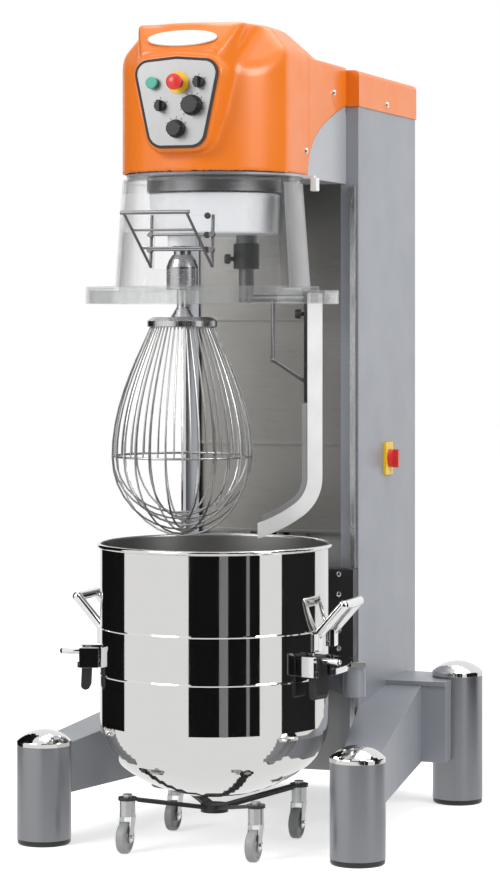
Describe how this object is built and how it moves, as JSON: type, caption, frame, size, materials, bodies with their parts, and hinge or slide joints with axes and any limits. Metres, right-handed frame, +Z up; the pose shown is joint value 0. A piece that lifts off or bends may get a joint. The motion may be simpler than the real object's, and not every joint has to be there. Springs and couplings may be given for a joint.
{
  "type": "planetary floor mixer",
  "caption": "Floor-standing planetary mixer with a column on splayed legs, an orange head, a wire whisk, a clear bowl guard and a lifting steel bowl over a bowl trolley.",
  "frame": {"origin": "on the floor, in the middle of the machine's box", "axes": "+Z up, -Y to the front where the operator stands, +X to the operator's right"},
  "size_m": [0.9919, 1.433, 2.107],
  "materials": {
    "grey_paint": "satin powder coat",
    "orange_cover": "gloss moulded",
    "polished_steel": "mirror polished",
    "stainless_sheet": "brushed",
    "steel": "fine turned",
    "cast_grey": "satin paint",
    "black_paint": "satin black",
    "black_plastic": "moulded",
    "rubber": "matt",
    "motor_grey": "cast",
    "white_enamel": "gloss enamel",
    "panel_silver": "satin",
    "bronze": "machined",
    "clear": "clear polycarbonate",
    "white_plastic": "moulded",
    "castor_grey": "moulded",
    "green_plastic": "moulded",
    "red_plastic": "moulded",
    "yellow_plastic": "moulded"
  },
  "bodies": {
    "frame": {"base_frame": "grey_paint", "legs": "grey_paint", "leg_caps": "polished_steel", "foot_rings": "rubber", "column_sides": "grey_paint", "column_rear_cover": "grey_paint", "column_inner_panel": "black_paint", "upper_lift_cover": "stainless_sheet", "lift_rails": "polished_steel", "column_cap": "orange_cover", "head_casting": "cast_grey", "head_cover": "orange_cover", "control_panel": "panel_silver", "panel_gasket": "rubber", "main_motor": "motor_grey", "drive_belt": "rubber", "shaft_bearings": "steel", "ring_gear": "motor_grey", "rear_guard": "clear", "lift_gearmotor": "motor_grey", "mains_switch_plate": "yellow_plastic", "control_box": "cast_grey"},
    "carriage": {"carriage_plate": "black_paint", "slider_blocks": "black_plastic", "bowl_yoke": "cast_grey", "lift_nut": "bronze", "lower_lift_cover": "stainless_sheet", "bowl": "polished_steel", "bowl_fittings": "polished_steel"},
    "left_clamp": {"left_clamp_lever": "black_plastic"},
    "right_clamp": {"right_clamp_lever": "black_plastic"},
    "middle_cover": {"middle_lift_cover": "stainless_sheet"},
    "screw": {"lift_screw": "steel"},
    "motor_shaft": {"motor_pulley": "steel"},
    "planetary": {"planetary_drum": "white_enamel", "main_shaft": "steel", "driven_pulley": "steel", "scraper_arm": "cast_grey", "scraper_blade": "white_plastic"},
    "tool": {"tool_shaft": "steel", "whisk_hub": "polished_steel", "whisk_wires": "polished_steel"},
    "guard": {"front_guard": "clear", "loading_chute": "steel"},
    "trolley": {"trolley_frame": "black_paint"},
    "start": {"start_button": "green_plastic"},
    "stop": {"stop_button": "red_plastic"},
    "left_select": {"left_selector": "black_plastic"},
    "right_select": {"right_selector": "black_plastic"},
    "speed": {"speed_knob": "black_plastic"},
    "lift_switch": {"lift_knob": "black_plastic"},
    "mains_switch": {"mains_switch_knob": "red_plastic"},
    "castor_1": {"castor_fork_1": "castor_grey"},
    "wheel_1": {"castor_wheel_1": "castor_grey"},
    "castor_2": {"castor_fork_2": "castor_grey"},
    "wheel_2": {"castor_wheel_2": "castor_grey"},
    "castor_3": {"castor_fork_3": "castor_grey"},
    "wheel_3": {"castor_wheel_3": "castor_grey"},
    "castor_4": {"castor_fork_4": "castor_grey"},
    "wheel_4": {"castor_wheel_4": "castor_grey"}
  },
  "joints": [
    {"name": "bowl_lift", "type": "slide", "parent": "frame", "child": "carriage", "axis": [0, 0, 1], "range_m": [0, 0.63]},
    {"name": "cover_slide", "type": "slide", "parent": "frame", "child": "middle_cover", "axis": [0, 0, 1], "range_m": [0, 0.315]},
    {"name": "screw_spin", "type": "hinge", "parent": "frame", "child": "screw", "pos_m": [0, 0.2575, 0.8], "axis": [0, 0, 1], "range_deg": [0, 9460]},
    {"name": "planet_spin", "type": "hinge", "parent": "frame", "child": "planetary", "pos_m": [0, -0.2825, 1.6], "axis": [0, 0, 1], "continuous": true},
    {"name": "tool_spin", "type": "hinge", "parent": "planetary", "child": "tool", "pos_m": [-0.06233, -0.3542, 1.6], "axis": [0, 0, 1], "continuous": true},
    {"name": "motor_spin", "type": "hinge", "parent": "frame", "child": "motor_shaft", "pos_m": [0, 0.3575, 1.96], "axis": [0, 0, 1], "continuous": true},
    {"name": "guard_turn", "type": "hinge", "parent": "frame", "child": "guard", "pos_m": [0, -0.2825, 1.6], "axis": [0, 0, 1], "range_deg": [0, 115]},
    {"name": "trolley_roll", "type": "slide", "parent": "frame", "child": "trolley", "axis": [0, -1, 0], "range_m": [0, 0.95]},
    {"name": "right_clamp_turn", "type": "hinge", "parent": "carriage", "child": "right_clamp", "pos_m": [0.31195, -0.38386, 0.5], "axis": [-0.309, -0.9511, 0], "range_deg": [0, 95]},
    {"name": "left_clamp_turn", "type": "hinge", "parent": "carriage", "child": "left_clamp", "pos_m": [-0.31195, -0.38386, 0.5], "axis": [-0.309, 0.9511, 0], "range_deg": [0, 95]},
    {"name": "start_press", "type": "slide", "parent": "frame", "child": "start", "axis": [0, 1, 0], "range_m": [0, 0.004], "stiffness_N_per_m": 300},
    {"name": "stop_press", "type": "slide", "parent": "frame", "child": "stop", "axis": [0, 1, 0], "range_m": [0, 0.006], "stiffness_N_per_m": 300},
    {"name": "left_select_turn", "type": "hinge", "parent": "frame", "child": "left_select", "pos_m": [-0.042, -0.5625, 1.8915], "axis": [0, -1, 0], "range_deg": [-45, 45]},
    {"name": "right_select_turn", "type": "hinge", "parent": "frame", "child": "right_select", "pos_m": [0.06, -0.5625, 1.9485], "axis": [0, -1, 0], "range_deg": [-45, 45]},
    {"name": "speed_turn", "type": "hinge", "parent": "frame", "child": "speed", "pos_m": [0.042, -0.5625, 1.8915], "axis": [0, -1, 0], "range_deg": [-135, 135]},
    {"name": "lift_switch_turn", "type": "hinge", "parent": "frame", "child": "lift_switch", "pos_m": [0, -0.5625, 1.8335], "axis": [0, -1, 0], "range_deg": [-45, 45]},
    {"name": "mains_switch_turn", "type": "hinge", "parent": "frame", "child": "mains_switch", "pos_m": [0.263, 0.4265, 0.97], "axis": [1, 0, 0], "range_deg": [0, 90]},
    {"name": "castor_swivel_1", "type": "hinge", "parent": "trolley", "child": "castor_1", "pos_m": [-0.173, -0.4555, 0.13], "axis": [0, 0, 1], "continuous": true},
    {"name": "wheel_spin_1", "type": "hinge", "parent": "castor_1", "child": "wheel_1", "pos_m": [-0.173, -0.4735, 0.04], "axis": [1, 0, 0], "continuous": true},
    {"name": "castor_swivel_2", "type": "hinge", "parent": "trolley", "child": "castor_2", "pos_m": [0.173, -0.4555, 0.13], "axis": [0, 0, 1], "continuous": true},
    {"name": "wheel_spin_2", "type": "hinge", "parent": "castor_2", "child": "wheel_2", "pos_m": [0.173, -0.4735, 0.04], "axis": [1, 0, 0], "continuous": true},
    {"name": "castor_swivel_3", "type": "hinge", "parent": "trolley", "child": "castor_3", "pos_m": [-0.173, -0.1095, 0.13], "axis": [0, 0, 1], "continuous": true},
    {"name": "wheel_spin_3", "type": "hinge", "parent": "castor_3", "child": "wheel_3", "pos_m": [-0.173, -0.1275, 0.04], "axis": [1, 0, 0], "continuous": true},
    {"name": "castor_swivel_4", "type": "hinge", "parent": "trolley", "child": "castor_4", "pos_m": [0.173, -0.1095, 0.13], "axis": [0, 0, 1], "continuous": true},
    {"name": "wheel_spin_4", "type": "hinge", "parent": "castor_4", "child": "wheel_4", "pos_m": [0.173, -0.1275, 0.04], "axis": [1, 0, 0], "continuous": true}
  ],
  "couplings": [
    {"joint": "cover_slide", "follows": "bowl_lift", "ratio": 0.5},
    {"joint": "screw_spin", "follows": "bowl_lift", "rad_per_m": 261.8},
    {"joint": "tool_spin", "follows": "planet_spin", "ratio": -2.7273},
    {"joint": "motor_spin", "follows": "planet_spin", "ratio": 2}
  ]
}
